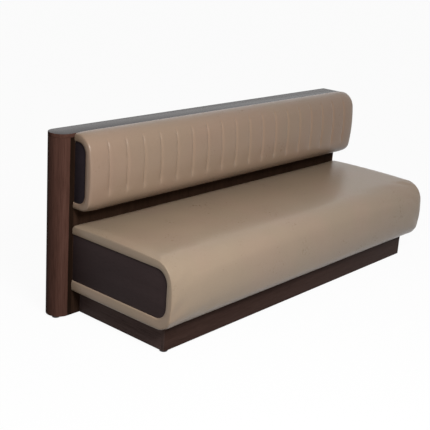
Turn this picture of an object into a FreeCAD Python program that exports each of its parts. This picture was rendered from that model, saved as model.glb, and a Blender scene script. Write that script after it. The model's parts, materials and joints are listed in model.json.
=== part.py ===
import FreeCAD, Part
import math
import os
import re

import Sketcher

# Upholstered restaurant bench against its own veneered back panel.
# X runs along the bench, the seat faces -Y, Z is up and the floor is at zero.
# The origin is on the floor, at the middle of the bench's outline in plan.

# Driving dimensions, all in millimetres unless the name says count.
SIZES = {
    # Overall form
    "seat_length": 2056.0,
    "seat_depth": 632.0,
    "seat_height": 450.0,
    "seat_underside": 128.0,
    "back_panel_height": 870.0,
    "back_panel_thickness": 120.0,
    "end_overhang": 22.0,
    "floor_gap": 13.0,
    # Back panel
    "skin_thickness": 12.0,
    "cap_thickness": 18.0,
    "end_board_thickness": 12.0,
    "stud_width": 45.0,
    "rail_height": 45.0,
    "blocking_height": 90.0,
    "blocking_depth": 45.0,
    "former_thickness": 18.0,
    "former_count": 2,
    # Seat padding and the rounded box inside it
    "seat_crown": 8.0,
    "seat_front_bulge": 8.0,
    "seat_top_radius": 106.0,
    "seat_bottom_radius": 84.0,
    "seat_top_padding": 44.0,
    "seat_front_padding": 35.0,
    "seat_bottom_padding": 53.0,
    "seat_panel_top_radius": 62.0,
    "seat_panel_bottom_radius": 62.0,
    "seat_board": 15.0,
    "seat_rear_thickness": 18.0,
    "seat_rib_thickness": 18.0,
    "seat_rib_count": 3,
    "seat_nosing_leg": 100.0,
    # Backrest padding and the rounded box inside it
    "backrest_rise": 5.0,
    "backrest_gap": 71.0,
    "backrest_depth": 120.0,
    "backrest_crown": 2.5,
    "backrest_front_bulge": 9.0,
    "backrest_top_radius": 94.0,
    "backrest_bottom_radius": 56.0,
    "backrest_top_padding": 39.0,
    "backrest_front_padding": 46.0,
    "backrest_bottom_padding": 33.0,
    "backrest_panel_top_radius": 48.0,
    "backrest_panel_bottom_radius": 48.0,
    "backrest_board": 9.0,
    "backrest_rib_thickness": 18.0,
    "backrest_rib_count": 3,
    "backrest_nosing_leg": 57.0,
    # Cushion ends and the stitched channels of the backrest
    "cushion_end_radius": 26.0,
    "channel_count": 19,
    "channel_groove_width": 5.0,
    "channel_groove_depth": 3.5,
    "channel_top_margin": 22.0,
    "channel_bottom_margin": 82.0,
    # Dark end panels
    "end_panel_thickness": 18.0,
    "end_panel_setback": 5.0,
    # Split battens that hang the backrest
    "cleat_thickness": 18.0,
    "cleat_height": 60.0,
    "cleat_end_clearance": 10.0,
    "cleat_screw_radius": 2.5,
    "cleat_screw_head_radius": 5.0,
    "cleat_screw_length": 62.0,
    "cleat_screw_count": 6,
    # Plinth
    "plinth_front_recess": 80.0,
    "plinth_end_recess": 51.0,
    "plinth_board": 18.0,
    "cross_member_count": 2,
    "foot_block_width": 90.0,
    "foot_block_height": 45.0,
    # Bolts that hold the seat to the back panel
    "bolt_radius": 4.0,
    "bolt_head_radius": 7.5,
    "bolt_head_height": 5.3,
    "bolt_clearance": 0.5,
    "bolt_count": 4,
    "washer_radius": 12.0,
    "washer_thickness": 2.0,
    # Levelling glides and the flanged nuts that they turn in
    "pad_top_radius": 22.0,
    "pad_base_radius": 18.0,
    "pad_head_clearance": 0.5,
    "pad_floor_thickness": 4.0,
    "stem_radius": 4.0,
    "stem_length": 40.0,
    "running_clearance": 0.08,
    "nut_flange_radius": 11.0,
    "nut_flange_thickness": 1.5,
    "nut_barrel_radius": 5.5,
    "nut_barrel_length": 10.0,
    "corner_foot_inset": 30.0,
    "inner_foot_inset": 60.0,
    "round_end_foot_offset": 26.0,
    "round_end_foot_advance": 12.0,
    # Length by which a cutter passes the face that it leaves
    "overrun": 5.0,
}

# Places and sizes that follow from the driving dimensions.
DERIVED = {
    "overall_length": "seat_length + end_overhang + back_panel_thickness / 2",
    "overall_depth": "seat_depth + back_panel_thickness",
    "seat_left": "overall_length / 2 - seat_length",
    "seat_right": "overall_length / 2",
    "round_center": "back_panel_thickness / 2 - overall_length / 2",
    "panel_rear": "overall_depth / 2",
    "panel_front": "panel_rear - back_panel_thickness",
    "panel_middle": "panel_rear - back_panel_thickness / 2",
    "panel_right": "seat_right - end_board_thickness",
    "core_front": "panel_front + skin_thickness",
    "core_depth": "back_panel_thickness - 2 * skin_thickness",
    "skin_height": "back_panel_height - cap_thickness - floor_gap",
    "core_bottom": "floor_gap + rail_height",
    "core_height": "skin_height - 2 * rail_height",
    "middle_stud": "(round_center + panel_right - stud_width) / 2",
    "box_left": "seat_left + end_panel_setback",
    "box_length": "seat_length - 2 * end_panel_setback",
    "inner_left": "box_left + end_panel_thickness",
    "inner_length": "box_length - 2 * end_panel_thickness",
    "seat_box_depth": "seat_depth - seat_front_padding",
    "seat_box_front": "panel_front - seat_box_depth",
    "seat_box_bottom": "seat_underside + seat_bottom_padding",
    "seat_box_height": "seat_height - seat_top_padding - seat_box_bottom",
    "seat_bolt_level": "seat_box_bottom + seat_box_height / 2",
    "seat_rear_face": "panel_front - seat_rear_thickness",
    "backrest_top": "back_panel_height + backrest_rise",
    "backrest_underside": "seat_height + backrest_gap",
    "backrest_box_depth": "backrest_depth - backrest_front_padding",
    "backrest_box_front": "panel_front - backrest_box_depth",
    "backrest_box_bottom": "backrest_underside + backrest_bottom_padding",
    "backrest_box_height": "backrest_top - backrest_top_padding - backrest_box_bottom",
    "cleat_front": "panel_front - cleat_thickness",
    "cleat_left": "inner_left + cleat_end_clearance",
    "cleat_length": "inner_length - 2 * cleat_end_clearance",
    "cleat_pair_height": "2 * cleat_height - cleat_thickness",
    "cleat_bottom": "backrest_box_bottom + (backrest_box_height - cleat_pair_height) / 2",
    "plinth_left": "seat_left + plinth_end_recess",
    "plinth_length": "seat_length - 2 * plinth_end_recess",
    "plinth_right": "plinth_left + plinth_length",
    "plinth_front": "plinth_front_recess - overall_depth / 2",
    "plinth_height": "seat_box_bottom - floor_gap",
    "plinth_inner_depth": "panel_front - plinth_front - 2 * plinth_board",
    "pad_height": "floor_gap - pad_head_clearance",
    "stem_bottom": "pad_floor_thickness + running_clearance",
}

# Where each levelling glide stands, as expressions for X and Y.
FEET = {
    "front_left": ("plinth_left + corner_foot_inset", "plinth_front + corner_foot_inset"),
    "front_right": ("plinth_right - inner_foot_inset", "plinth_front + inner_foot_inset"),
    "rear_left": ("round_center - round_end_foot_offset", "panel_middle - round_end_foot_advance"),
    "rear_right": ("seat_right - inner_foot_inset", "panel_middle"),
}

# Sections that shape each rounded cushion end, from its end face to full size.
END_SECTIONS = 4

WORD = re.compile(r"[A-Za-z_]\w*")
TURN_TO_Y = FreeCAD.Rotation(FreeCAD.Vector(1, 0, 0), -90)
TURN_TO_LEFT = FreeCAD.Rotation(FreeCAD.Vector(0, 0, 1), 90)

doc = FreeCAD.newDocument("RestaurantBench")
sheet = doc.addObject("Spreadsheet::Sheet", "Sizes")
sub_parts = []


def fill_sheet():
    """Write the driving dimensions as plain numbers and the derived ones as formulas."""
    cells = dict(SIZES)
    cells.update({name: "=" + formula for name, formula in DERIVED.items()})
    for row, (name, content) in enumerate(cells.items(), start=1):
        sheet.set(f"A{row}", name)
        sheet.set(f"B{row}", str(content))
        sheet.setAlias(f"B{row}", name)
    doc.recompute()


def size(name):
    """Read one number from the sheet."""
    return float(sheet.get(name))


def count(name):
    """Read one whole number from the sheet."""
    return int(round(size(name)))


def bind(thing, prop, text):
    """Tie a property to an expression in which each size name points at the sheet."""
    known = SIZES.keys() | DERIVED.keys()
    linked = WORD.sub(lambda word: f"Sizes.{word[0]}" if word[0] in known else word[0], text)
    thing.setExpression(prop, linked)


def place(thing, start, turn=FreeCAD.Rotation()):
    """Put an object at a bound start point, with an optional turn."""
    thing.Placement = FreeCAD.Placement(FreeCAD.Vector(), turn)
    for axis, text in zip("xyz", start):
        bind(thing, f"Placement.Base.{axis}", text)


def keep(thing, label):
    """Make an object a sub-part with its own label."""
    thing.Label = label
    sub_parts.append(thing)
    return thing


# Plain solids

def block(name, start, extent):
    """A box from its low corner and its extent along X, Y and Z."""
    box = doc.addObject("Part::Box", name)
    for prop, text in zip(("Length", "Width", "Height"), extent):
        bind(box, prop, text)
    place(box, start)
    return box


def rod(name, start, radius, length, turn=FreeCAD.Rotation()):
    """A cylinder from the centre of its first end."""
    cylinder = doc.addObject("Part::Cylinder", name)
    bind(cylinder, "Radius", radius)
    bind(cylinder, "Height", length)
    place(cylinder, start, turn)
    return cylinder


def half_disc(name, bottom, radius, height):
    """A half cylinder at the back panel's rounded end, on the left of its centre line."""
    cylinder = rod(name, ("round_center", "panel_middle", bottom), radius, height, TURN_TO_LEFT)
    cylinder.Angle = 180
    return cylinder


def joined(name, pieces):
    """One solid, or one set of solids, from several."""
    fuse = doc.addObject("Part::MultiFuse", name)
    fuse.Shapes = pieces
    fuse.Refine = True
    return fuse


def grouped(name, pieces):
    """Separate solids held together in one sub-part."""
    group = doc.addObject("Part::Compound", name)
    group.Links = pieces
    return group


def bored(name, base, cutters):
    """A solid with each cutter taken out of it."""
    cut = doc.addObject("Part::Cut", name)
    cut.Base = base
    cut.Tool = cutters[0] if len(cutters) == 1 else joined(name + "_cutters", cutters)
    return cut


# Bodies drawn in their end view and padded along X

def end_view(body, corners):
    """A closed four-cornered sketch on the YZ plane, with bound corners."""
    sketch = body.newObject("Sketcher::SketchObject", body.Name + "_outline")
    plane = next(item for item in body.Origin.OriginFeatures if item.Role == "YZ_Plane")
    sketch.AttachmentSupport = [(plane, "")]
    sketch.MapMode = "FlatFace"
    unit = ((0, 0), (1, 0), (1, 1), (0, 1))
    points = [FreeCAD.Vector(across, up, 0) for across, up in unit]
    for index, point in enumerate(points):
        sketch.addGeometry(Part.LineSegment(point, points[(index + 1) % len(points)]))
    for index in range(len(points)):
        sketch.addConstraint(
            Sketcher.Constraint("Coincident", index, 2, (index + 1) % len(points), 1)
        )
    for index, corner in enumerate(corners):
        for kind, axis, text in zip(("DistanceX", "DistanceY"), (-2, -1), corner):
            if text == "0":
                sketch.addConstraint(Sketcher.Constraint("PointOnObject", index, 1, axis))
            else:
                number = sketch.addConstraint(Sketcher.Constraint(kind, -1, 1, index, 1, 1.0))
                bind(sketch, f"Constraints[{number}]", text)
    return sketch


def bar_body(name, start, width, corners):
    """A straight bar of a four-cornered section; the section starts at its front bottom corner."""
    body = doc.addObject("PartDesign::Body", name)
    pad = body.newObject("PartDesign::Pad", name + "_pad")
    pad.Profile = end_view(body, corners)
    bind(pad, "Length", width)
    body.Tip = pad
    place(body, start)
    doc.recompute()
    return body, pad


def corner_edge(shape, upward):
    """Name of the lengthwise edge at the front of a bar, at its top or its bottom."""
    def reach(numbered):
        middle = numbered[1].CenterOfMass
        return upward * middle.z - middle.y
    lengthwise = [
        (number, edge)
        for number, edge in enumerate(shape.Edges, start=1)
        if edge.BoundBox.XLength > edge.BoundBox.YLength + edge.BoundBox.ZLength
    ]
    return f"Edge{max(lengthwise, key=reach)[0]}"


def round_front_body(name, start, width, depth, height, top_radius, bottom_radius):
    """A bar whose two front edges are rounded, the form of every panel and rib in the boxes."""
    corners = (("0", "0"), (depth, "0"), (depth, height), ("0", height))
    body, feature = bar_body(name, start, width, corners)
    for upward, side, radius in ((1, "top", top_radius), (-1, "bottom", bottom_radius)):
        fillet = body.newObject("PartDesign::Fillet", f"{name}_{side}_round")
        fillet.Base = (feature, [corner_edge(feature.Shape, upward)])
        bind(fillet, "Radius", radius)
        body.Tip = fillet
        doc.recompute()
        feature = fillet
    return body


def bolt_places():
    """Expressions for the X of each bolt, evenly spread along the seat."""
    number = count("bolt_count")
    return [f"seat_left + seat_length * {index + 0.5} / bolt_count" for index in range(number)]


# Back panel: two veneered skins on timber framing, with a half-round end and a flat cap

def build_back_panel():
    """Skins, rounded end, cap, end board, rails, studs, formers and blocking."""
    skin_length = "panel_right - round_center"

    skin_holes = [
        rod(f"skin_bolt_hole_{index}", (x, "panel_front - overrun", "seat_bolt_level"),
            "bolt_radius + bolt_clearance", "skin_thickness + 2 * overrun", TURN_TO_Y)
        for index, x in enumerate(bolt_places())
    ]
    front = block("front_skin_sheet", ("round_center", "panel_front", "floor_gap"),
                  (skin_length, "skin_thickness", "skin_height"))
    keep(bored("back_front_skin", front, skin_holes), "back_front_skin")
    keep(block("back_rear_skin", ("round_center", "panel_rear - skin_thickness", "floor_gap"),
               (skin_length, "skin_thickness", "skin_height")), "back_rear_skin")

    shell = half_disc("round_end_outside", "floor_gap", "back_panel_thickness / 2", "skin_height")
    hollow = half_disc("round_end_inside", "floor_gap - overrun", "core_depth / 2",
                       "skin_height + 2 * overrun")
    keep(bored("back_rounded_end", shell, [hollow]), "back_rounded_end")

    cap_level = "back_panel_height - cap_thickness"
    cap = block("cap_run", ("round_center", "panel_front", cap_level),
                ("seat_right - round_center", "back_panel_thickness", "cap_thickness"))
    nose = half_disc("cap_nose", cap_level, "back_panel_thickness / 2", "cap_thickness")
    keep(joined("back_top_cap", [cap, nose]), "back_top_cap")
    keep(block("back_end_board", ("panel_right", "panel_front", "floor_gap"),
               ("end_board_thickness", "back_panel_thickness", "skin_height")), "back_end_board")

    rail = (skin_length, "core_depth", "rail_height")
    low_rail = block("low_rail_timber", ("round_center", "core_front", "floor_gap"), rail)
    keep(bored("back_bottom_rail", low_rail, nut_bore("rear_right", "rail_height")), "back_bottom_rail")
    keep(block("back_top_rail", ("round_center", "core_front", "core_bottom + core_height"), rail),
         "back_top_rail")
    studs = {"left": "round_center", "middle": "middle_stud", "right": "panel_right - stud_width"}
    for side, x in studs.items():
        keep(block(f"back_stud_{side}", (x, "core_front", "core_bottom"),
                   ("stud_width", "core_depth", "core_height")), f"back_stud_{side}")

    for number in range(count("former_count")):
        level = f"core_bottom + core_height * {number + 1} / (former_count + 1)"
        keep(half_disc(f"round_end_former_{number + 1}", level, "core_depth / 2", "former_thickness"),
             f"round_end_former_{number + 1}")
    foot_former = half_disc("foot_former_timber", "floor_gap", "core_depth / 2", "rail_height")
    keep(bored("round_end_foot_block", foot_former, nut_bore("rear_left", "rail_height")),
         "round_end_foot_block")

    bay = "middle_stud - round_center - stud_width"
    bays = {"left": "round_center + stud_width", "right": "middle_stud + stud_width"}
    for side, x in bays.items():
        extent = (bay, "blocking_depth", "blocking_height")
        name = f"seat_blocking_{side}"
        timber = block(name + "_timber", (x, "core_front", "seat_bolt_level - blocking_height / 2"),
                       extent)
        holes = [
            rod(f"{name}_hole_{index}", (bolt_x, "core_front - overrun", "seat_bolt_level"),
                "nut_barrel_radius", "blocking_depth + 2 * overrun", TURN_TO_Y)
            for index, bolt_x in enumerate(bolt_places())
            if (index < count("bolt_count") / 2) == (side == "left")
        ]
        keep(bored(name, timber, holes), name)
        name = f"backrest_blocking_{side}"
        low = "cleat_bottom + cleat_height / 2 - blocking_height / 2"
        keep(block(name, (x, "core_front", low), extent), name)


# Seat: a rounded plywood box, closed by dark end panels and wrapped in padding

def build_seat():
    """End panels, nosing, deck, bottom, rear board and ribs."""
    rounds = ("seat_panel_top_radius", "seat_panel_bottom_radius")
    ends = {"left": "box_left", "right": "inner_left + inner_length"}
    for side, x in ends.items():
        name = f"seat_end_panel_{side}"
        keep(round_front_body(name, (x, "seat_box_front", "seat_box_bottom"), "end_panel_thickness",
                              "seat_box_depth", "seat_box_height", *rounds), name)

    nosing = bent_nosing("seat_nosing", "seat", "seat_box_front", "seat_box_bottom")
    keep(nosing, "seat_nosing")

    sheet_extent = ("inner_length", "seat_box_depth - seat_nosing_leg", "seat_board")
    sheet_front = "seat_box_front + seat_nosing_leg"
    deck_level = "seat_box_bottom + seat_box_height - seat_board"
    keep(block("seat_deck", ("inner_left", sheet_front, deck_level), sheet_extent), "seat_deck")
    keep(block("seat_bottom", ("inner_left", sheet_front, "seat_box_bottom"), sheet_extent),
         "seat_bottom")

    inside_level = "seat_box_bottom + seat_board"
    inside_height = "seat_box_height - 2 * seat_board"
    board = block("seat_rear_sheet", ("inner_left", "seat_rear_face", inside_level),
                  ("inner_length", "seat_rear_thickness", inside_height))
    holes = [
        rod(f"seat_rear_hole_{index}", (x, "seat_rear_face - overrun", "seat_bolt_level"),
            "bolt_radius + bolt_clearance", "seat_rear_thickness + 2 * overrun", TURN_TO_Y)
        for index, x in enumerate(bolt_places())
    ]
    keep(bored("seat_rear_rail", board, holes), "seat_rear_rail")

    for number in range(1, count("seat_rib_count") + 1):
        name = f"seat_rib_{number}"
        x = f"seat_left + seat_length * {number} / (seat_rib_count + 1) - seat_rib_thickness / 2"
        keep(round_front_body(
            name, (x, "seat_box_front + seat_board", inside_level), "seat_rib_thickness",
            "seat_box_depth - seat_board - seat_rear_thickness", inside_height,
            "seat_panel_top_radius - seat_board", "seat_panel_bottom_radius - seat_board"), name)


def bent_nosing(name, part, front, bottom):
    """Bent plywood round the front of a box, open at the rear: a rounded bar less a smaller one."""
    board = f"{part}_board"
    outside = round_front_body(
        name + "_outside", ("inner_left", front, bottom), "inner_length",
        f"{part}_nosing_leg", f"{part}_box_height", f"{part}_panel_top_radius",
        f"{part}_panel_bottom_radius")
    inside = round_front_body(
        name + "_inside", ("inner_left - overrun", f"{front} + {board}", f"{bottom} + {board}"),
        "inner_length + 2 * overrun", f"{part}_nosing_leg - {board} + overrun",
        f"{part}_box_height - 2 * {board}", f"{part}_panel_top_radius - {board}",
        f"{part}_panel_bottom_radius - {board}")
    return bored(name, outside, [inside])


# Backrest: the same construction, hung on split battens

def build_backrest():
    """End panels, nosing, top and bottom boards, ribs, battens and their screws."""
    rounds = ("backrest_panel_top_radius", "backrest_panel_bottom_radius")
    ends = {"left": "box_left", "right": "inner_left + inner_length"}
    for side, x in ends.items():
        name = f"backrest_end_panel_{side}"
        corner = (x, "backrest_box_front", "backrest_box_bottom")
        keep(round_front_body(name, corner, "end_panel_thickness", "backrest_box_depth",
                              "backrest_box_height", *rounds), name)

    nosing = bent_nosing("backrest_nosing", "backrest", "backrest_box_front", "backrest_box_bottom")
    keep(nosing, "backrest_nosing")

    strip = ("inner_length", "backrest_box_depth - backrest_nosing_leg", "backrest_board")
    strip_front = "backrest_box_front + backrest_nosing_leg"
    top_level = "backrest_box_bottom + backrest_box_height - backrest_board"
    keep(block("backrest_top_board", ("inner_left", strip_front, top_level), strip),
         "backrest_top_board")
    keep(block("backrest_bottom_board", ("inner_left", strip_front, "backrest_box_bottom"), strip),
         "backrest_bottom_board")

    for number in range(1, count("backrest_rib_count") + 1):
        name = f"backrest_rib_{number}"
        middle = f"seat_left + seat_length * {number} / (backrest_rib_count + 1)"
        corner = (f"{middle} - backrest_rib_thickness / 2", "backrest_box_front + backrest_board",
                  "backrest_box_bottom + backrest_board")
        keep(round_front_body(
            name, corner,
            "backrest_rib_thickness", "backrest_box_depth - backrest_board - cleat_thickness",
            "backrest_box_height - 2 * backrest_board", "backrest_panel_top_radius - backrest_board",
            "backrest_panel_bottom_radius - backrest_board"), name)

    # The wall batten's top slopes down towards the panel, and the hung batten sits behind its lip.
    wall_section = (("0", "0"), ("cleat_thickness", "0"),
                    ("cleat_thickness", "cleat_height - cleat_thickness"), ("0", "cleat_height"))
    wall_batten, _ = bar_body("wall_batten", ("cleat_left", "cleat_front", "cleat_bottom"),
                              "cleat_length", wall_section)
    keep(wall_batten, "wall_batten")
    hung_section = (("0", "cleat_thickness"), ("cleat_thickness", "0"),
                    ("cleat_thickness", "cleat_height"), ("0", "cleat_height"))
    hung_level = "cleat_bottom + cleat_height - cleat_thickness"
    hung_batten, _ = bar_body("backrest_batten", ("cleat_left", "cleat_front", hung_level),
                              "cleat_length", hung_section)
    keep(hung_batten, "backrest_batten")

    screws = []
    for index in range(count("cleat_screw_count")):
        x = f"cleat_left + cleat_length * {index + 0.5} / cleat_screw_count"
        level = "cleat_bottom + (cleat_height - cleat_thickness) / 2"
        head = doc.addObject("Part::Cone", f"batten_screw_head_{index}")
        bind(head, "Radius1", "cleat_screw_head_radius")
        bind(head, "Radius2", "cleat_screw_radius")
        bind(head, "Height", "cleat_screw_radius")
        place(head, (x, "cleat_front", level), TURN_TO_Y)
        shank = rod(f"batten_screw_shank_{index}", (x, "cleat_front", level), "cleat_screw_radius",
                    "cleat_screw_length", TURN_TO_Y)
        screws.append(joined(f"batten_screw_{index}", [head, shank]))
    keep(grouped("batten_screws", screws), "batten_screws")


# Plinth: a recessed box that carries the seat box through the opening in its padding

def build_plinth():
    """Boards, cross members and the two blocks that hold the front glides."""
    keep(block("plinth_front_board", ("plinth_left", "plinth_front", "floor_gap"),
               ("plinth_length", "plinth_board", "plinth_height")), "plinth_front_board")
    inner_front = "plinth_front + plinth_board"
    for side, x in {"left": "plinth_left", "right": "plinth_right - plinth_board"}.items():
        keep(block(f"plinth_end_board_{side}", (x, inner_front, "floor_gap"),
                   ("plinth_board", "plinth_inner_depth + plinth_board", "plinth_height")),
             f"plinth_end_board_{side}")
    rail_corner = ("plinth_left + plinth_board", "panel_front - plinth_board", "floor_gap")
    keep(block("plinth_rear_rail", rail_corner,
               ("plinth_length - 2 * plinth_board", "plinth_board", "plinth_height")),
         "plinth_rear_rail")
    for number in range(1, count("cross_member_count") + 1):
        x = f"plinth_left + plinth_length * {number} / (cross_member_count + 1) - plinth_board / 2"
        keep(block(f"plinth_cross_member_{number}", (x, inner_front, "floor_gap"),
                   ("plinth_board", "plinth_inner_depth", "plinth_height")),
             f"plinth_cross_member_{number}")
    corners = {"left": "plinth_left + plinth_board",
               "right": "plinth_right - plinth_board - foot_block_width"}
    for side, x in corners.items():
        name = f"plinth_foot_block_{side}"
        timber = block(name + "_timber", (x, inner_front, "floor_gap"),
                       ("foot_block_width", "foot_block_width", "foot_block_height"))
        keep(bored(name, timber, nut_bore(f"front_{side}", "foot_block_height")), name)


# Fasteners between the seat box and the back panel

def build_bolts():
    """Hexagon bolts, washers and flanged nuts, each kind in one sub-part."""
    bolts, washers, nuts = [], [], []
    level = "seat_bolt_level"
    nut_face = "core_front + blocking_depth"
    head_front = "seat_rear_face - washer_thickness - bolt_head_height"
    for index, x in enumerate(bolt_places()):
        head = doc.addObject("Part::Prism", f"bolt_head_{index}")
        head.Polygon = 6
        bind(head, "Circumradius", "bolt_head_radius")
        bind(head, "Height", "bolt_head_height")
        place(head, (x, head_front, level), TURN_TO_Y)
        shank_length = ("bolt_head_height + washer_thickness + seat_rear_thickness + skin_thickness"
                        " + blocking_depth + nut_flange_thickness")
        shank = rod(f"bolt_shank_{index}", (x, head_front, level), "bolt_radius", shank_length,
                    TURN_TO_Y)
        bolts.append(joined(f"bolt_{index}", [head, shank]))

        disc = rod(f"washer_disc_{index}", (x, "seat_rear_face - washer_thickness", level),
                   "washer_radius", "washer_thickness", TURN_TO_Y)
        hole = rod(f"washer_hole_{index}", (x, "seat_rear_face - washer_thickness - overrun", level),
                   "bolt_radius + bolt_clearance", "washer_thickness + 2 * overrun", TURN_TO_Y)
        washers.append(bored(f"washer_{index}", disc, [hole]))

        flange = rod(f"bolt_nut_flange_{index}", (x, nut_face, level), "nut_flange_radius",
                     "nut_flange_thickness", TURN_TO_Y)
        barrel = rod(f"bolt_nut_barrel_{index}", (x, f"{nut_face} - nut_barrel_length", level),
                     "nut_barrel_radius", "nut_barrel_length", TURN_TO_Y)
        bore = rod(f"bolt_nut_bore_{index}", (x, f"{nut_face} - nut_barrel_length - overrun", level),
                   "bolt_radius", "nut_barrel_length + nut_flange_thickness + 2 * overrun", TURN_TO_Y)
        nut = joined(f"bolt_nut_body_{index}", [flange, barrel])
        nuts.append(bored(f"bolt_nut_{index}", nut, [bore]))
    keep(grouped("seat_bolts", bolts), "seat_bolts")
    keep(grouped("seat_bolt_washers", washers), "seat_bolt_washers")
    keep(grouped("seat_bolt_nuts", nuts), "seat_bolt_nuts")


# Levelling glides: a black pad, a threaded stem that turns in it, and a flanged nut in the timber

def nut_bore(foot, height):
    """Cutters for a flanged nut let in flush from below, with room for the stem above it."""
    x, y = FEET[foot]
    recess = rod(f"{foot}_nut_recess", (x, y, "floor_gap - overrun"), "nut_flange_radius",
                 "overrun + nut_flange_thickness")
    hole = rod(f"{foot}_nut_hole", (x, y, "floor_gap - overrun"), "nut_barrel_radius",
               f"{height} + 2 * overrun")
    return [recess, hole]


def build_feet():
    """A pad and a stem for each glide, and one sub-part for their nuts."""
    nuts = []
    for foot, (x, y) in FEET.items():
        cone = doc.addObject("Part::Cone", f"{foot}_pad_cone")
        bind(cone, "Radius1", "pad_base_radius")
        bind(cone, "Radius2", "pad_top_radius")
        bind(cone, "Height", "pad_height")
        place(cone, (x, y, "0"))
        socket = rod(f"{foot}_pad_socket", (x, y, "pad_floor_thickness"),
                     "stem_radius + running_clearance", "pad_height")
        keep(bored(f"glide_pad_{foot}", cone, [socket]), f"glide_pad_{foot}")
        keep(rod(f"glide_stem_{foot}", (x, y, "stem_bottom"), "stem_radius", "stem_length"),
             f"glide_stem_{foot}")

        flange = rod(f"{foot}_nut_flange", (x, y, "floor_gap"), "nut_flange_radius",
                     "nut_flange_thickness")
        barrel = rod(f"{foot}_nut_barrel", (x, y, "floor_gap"), "nut_barrel_radius",
                     "nut_flange_thickness + nut_barrel_length")
        bore = rod(f"{foot}_nut_thread", (x, y, "floor_gap - overrun"),
                   "stem_radius + running_clearance",
                   "nut_flange_thickness + nut_barrel_length + 2 * overrun")
        nut = joined(f"{foot}_nut_body", [flange, barrel])
        nuts.append(bored(f"{foot}_nut", nut, [bore]))
    keep(grouped("glide_nuts", nuts), "glide_nuts")


# Padding: each cushion wraps the top, front and underside of its box

def padded_outline(part, x, inset):
    """End view of a cushion's outside, drawn in by an inset, as tangent arcs and two lines."""
    rear = size("panel_front")
    top = size({"seat": "seat_height", "backrest": "backrest_top"}[part]) - inset
    bottom = size(f"{part}_underside") + inset
    depth = size(f"{part}_depth") - inset
    crown = size(f"{part}_crown")
    bulge = size(f"{part}_front_bulge")
    top_radius = size(f"{part}_top_radius") - inset
    bottom_radius = size(f"{part}_bottom_radius") - inset

    # The crown and the bulge are arcs whose end slopes carry on into the corner arcs.
    top_slope = 2 * math.atan(2 * crown / (depth - top_radius))
    front_slope = 2 * math.atan(2 * bulge / (top - bottom - top_radius - bottom_radius))
    top_center_z = top - top_radius * math.cos(top_slope)
    bottom_center_z = bottom + bottom_radius
    front_top_z = top_center_z + top_radius * math.sin(front_slope)
    front_bottom_z = bottom_center_z - bottom_radius * math.sin(front_slope)
    front_rise = (front_top_z - front_bottom_z) / 2 * math.tan(front_slope / 2)
    edge_depth = depth - front_rise
    top_center_u = edge_depth - top_radius * math.cos(front_slope)
    bottom_center_u = edge_depth - bottom_radius * math.cos(front_slope)
    crown_end_u = top_center_u + top_radius * math.sin(top_slope)
    crown_rise = crown_end_u / 2 * math.tan(top_slope / 2)

    def point(u, z):
        return FreeCAD.Vector(x, rear - u, z)

    def on_corner(center_u, center_z, radius, angle):
        return point(center_u + radius * math.cos(angle), center_z + radius * math.sin(angle))

    rear_top = point(0, top)
    crown_end = on_corner(top_center_u, top_center_z, top_radius, math.pi / 2 - top_slope)
    top_corner = on_corner(top_center_u, top_center_z, top_radius,
                           (math.pi / 2 - top_slope + front_slope) / 2)
    front_top = point(edge_depth, front_top_z)
    front_bottom = point(edge_depth, front_bottom_z)
    bottom_corner = on_corner(bottom_center_u, bottom_center_z, bottom_radius,
                              -(math.pi / 2 + front_slope) / 2)
    underside_front = point(bottom_center_u, bottom)
    underside_rear = point(0, bottom)
    edges = [
        Part.Arc(rear_top, point(crown_end_u / 2, top + crown_rise), crown_end).toShape(),
        Part.Arc(crown_end, top_corner, front_top).toShape(),
        Part.Arc(front_top, point(depth, (front_top_z + front_bottom_z) / 2), front_bottom).toShape(),
        Part.Arc(front_bottom, bottom_corner, underside_front).toShape(),
        Part.makeLine(underside_front, underside_rear),
        Part.makeLine(underside_rear, rear_top),
    ]
    return Part.Wire(edges)


def padded_solid(part):
    """Cushion outside: full size along its length, with both ends rounded in."""
    radius = size("cushion_end_radius")
    stations = []
    for step in range(END_SECTIONS):
        angle = math.pi / 2 * step / (END_SECTIONS - 1)
        stations.append((radius * (1 - math.cos(angle)), radius * (1 - math.sin(angle))))
    left, right = size("seat_left"), size("seat_right")
    outlines = [padded_outline(part, left + run, inset) for run, inset in stations]
    outlines += [padded_outline(part, right - run, inset) for run, inset in reversed(stations)]
    return Part.makeLoft(outlines, True, True)


def box_space(part):
    """The room that a box takes in its cushion, open at both ends."""
    space = doc.getObject(f"{part}_box_space")
    return space.Shape.copy()


def add_cushion(part, shape):
    """Store a cushion as a sub-part."""
    cushion = doc.addObject("Part::Feature", f"{part}_cushion")
    cushion.Shape = shape
    cushion.Placement = FreeCAD.Placement()
    keep(cushion, f"{part}_cushion")


def build_cushions():
    """The seat cushion, and the backrest cushion with its stitched channels."""
    for part in ("seat", "backrest"):
        round_front_body(
            f"{part}_box_space", ("seat_left - overrun", f"{part}_box_front", f"{part}_box_bottom"),
            "seat_length + 2 * overrun", f"{part}_box_depth + overrun", f"{part}_box_height",
            f"{part}_panel_top_radius", f"{part}_panel_bottom_radius")
    doc.recompute()

    overrun = size("overrun")
    plinth_room = Part.makeBox(
        size("plinth_length"), size("panel_front") - size("plinth_front") + overrun,
        size("seat_bottom_padding") + overrun,
        FreeCAD.Vector(size("plinth_left"), size("plinth_front"), size("seat_underside") - overrun))
    add_cushion("seat", padded_solid("seat").cut(box_space("seat")).cut(plinth_room))

    grooves = channel_grooves()
    add_cushion("backrest", padded_solid("backrest").cut(box_space("backrest")).cut(grooves))


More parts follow.
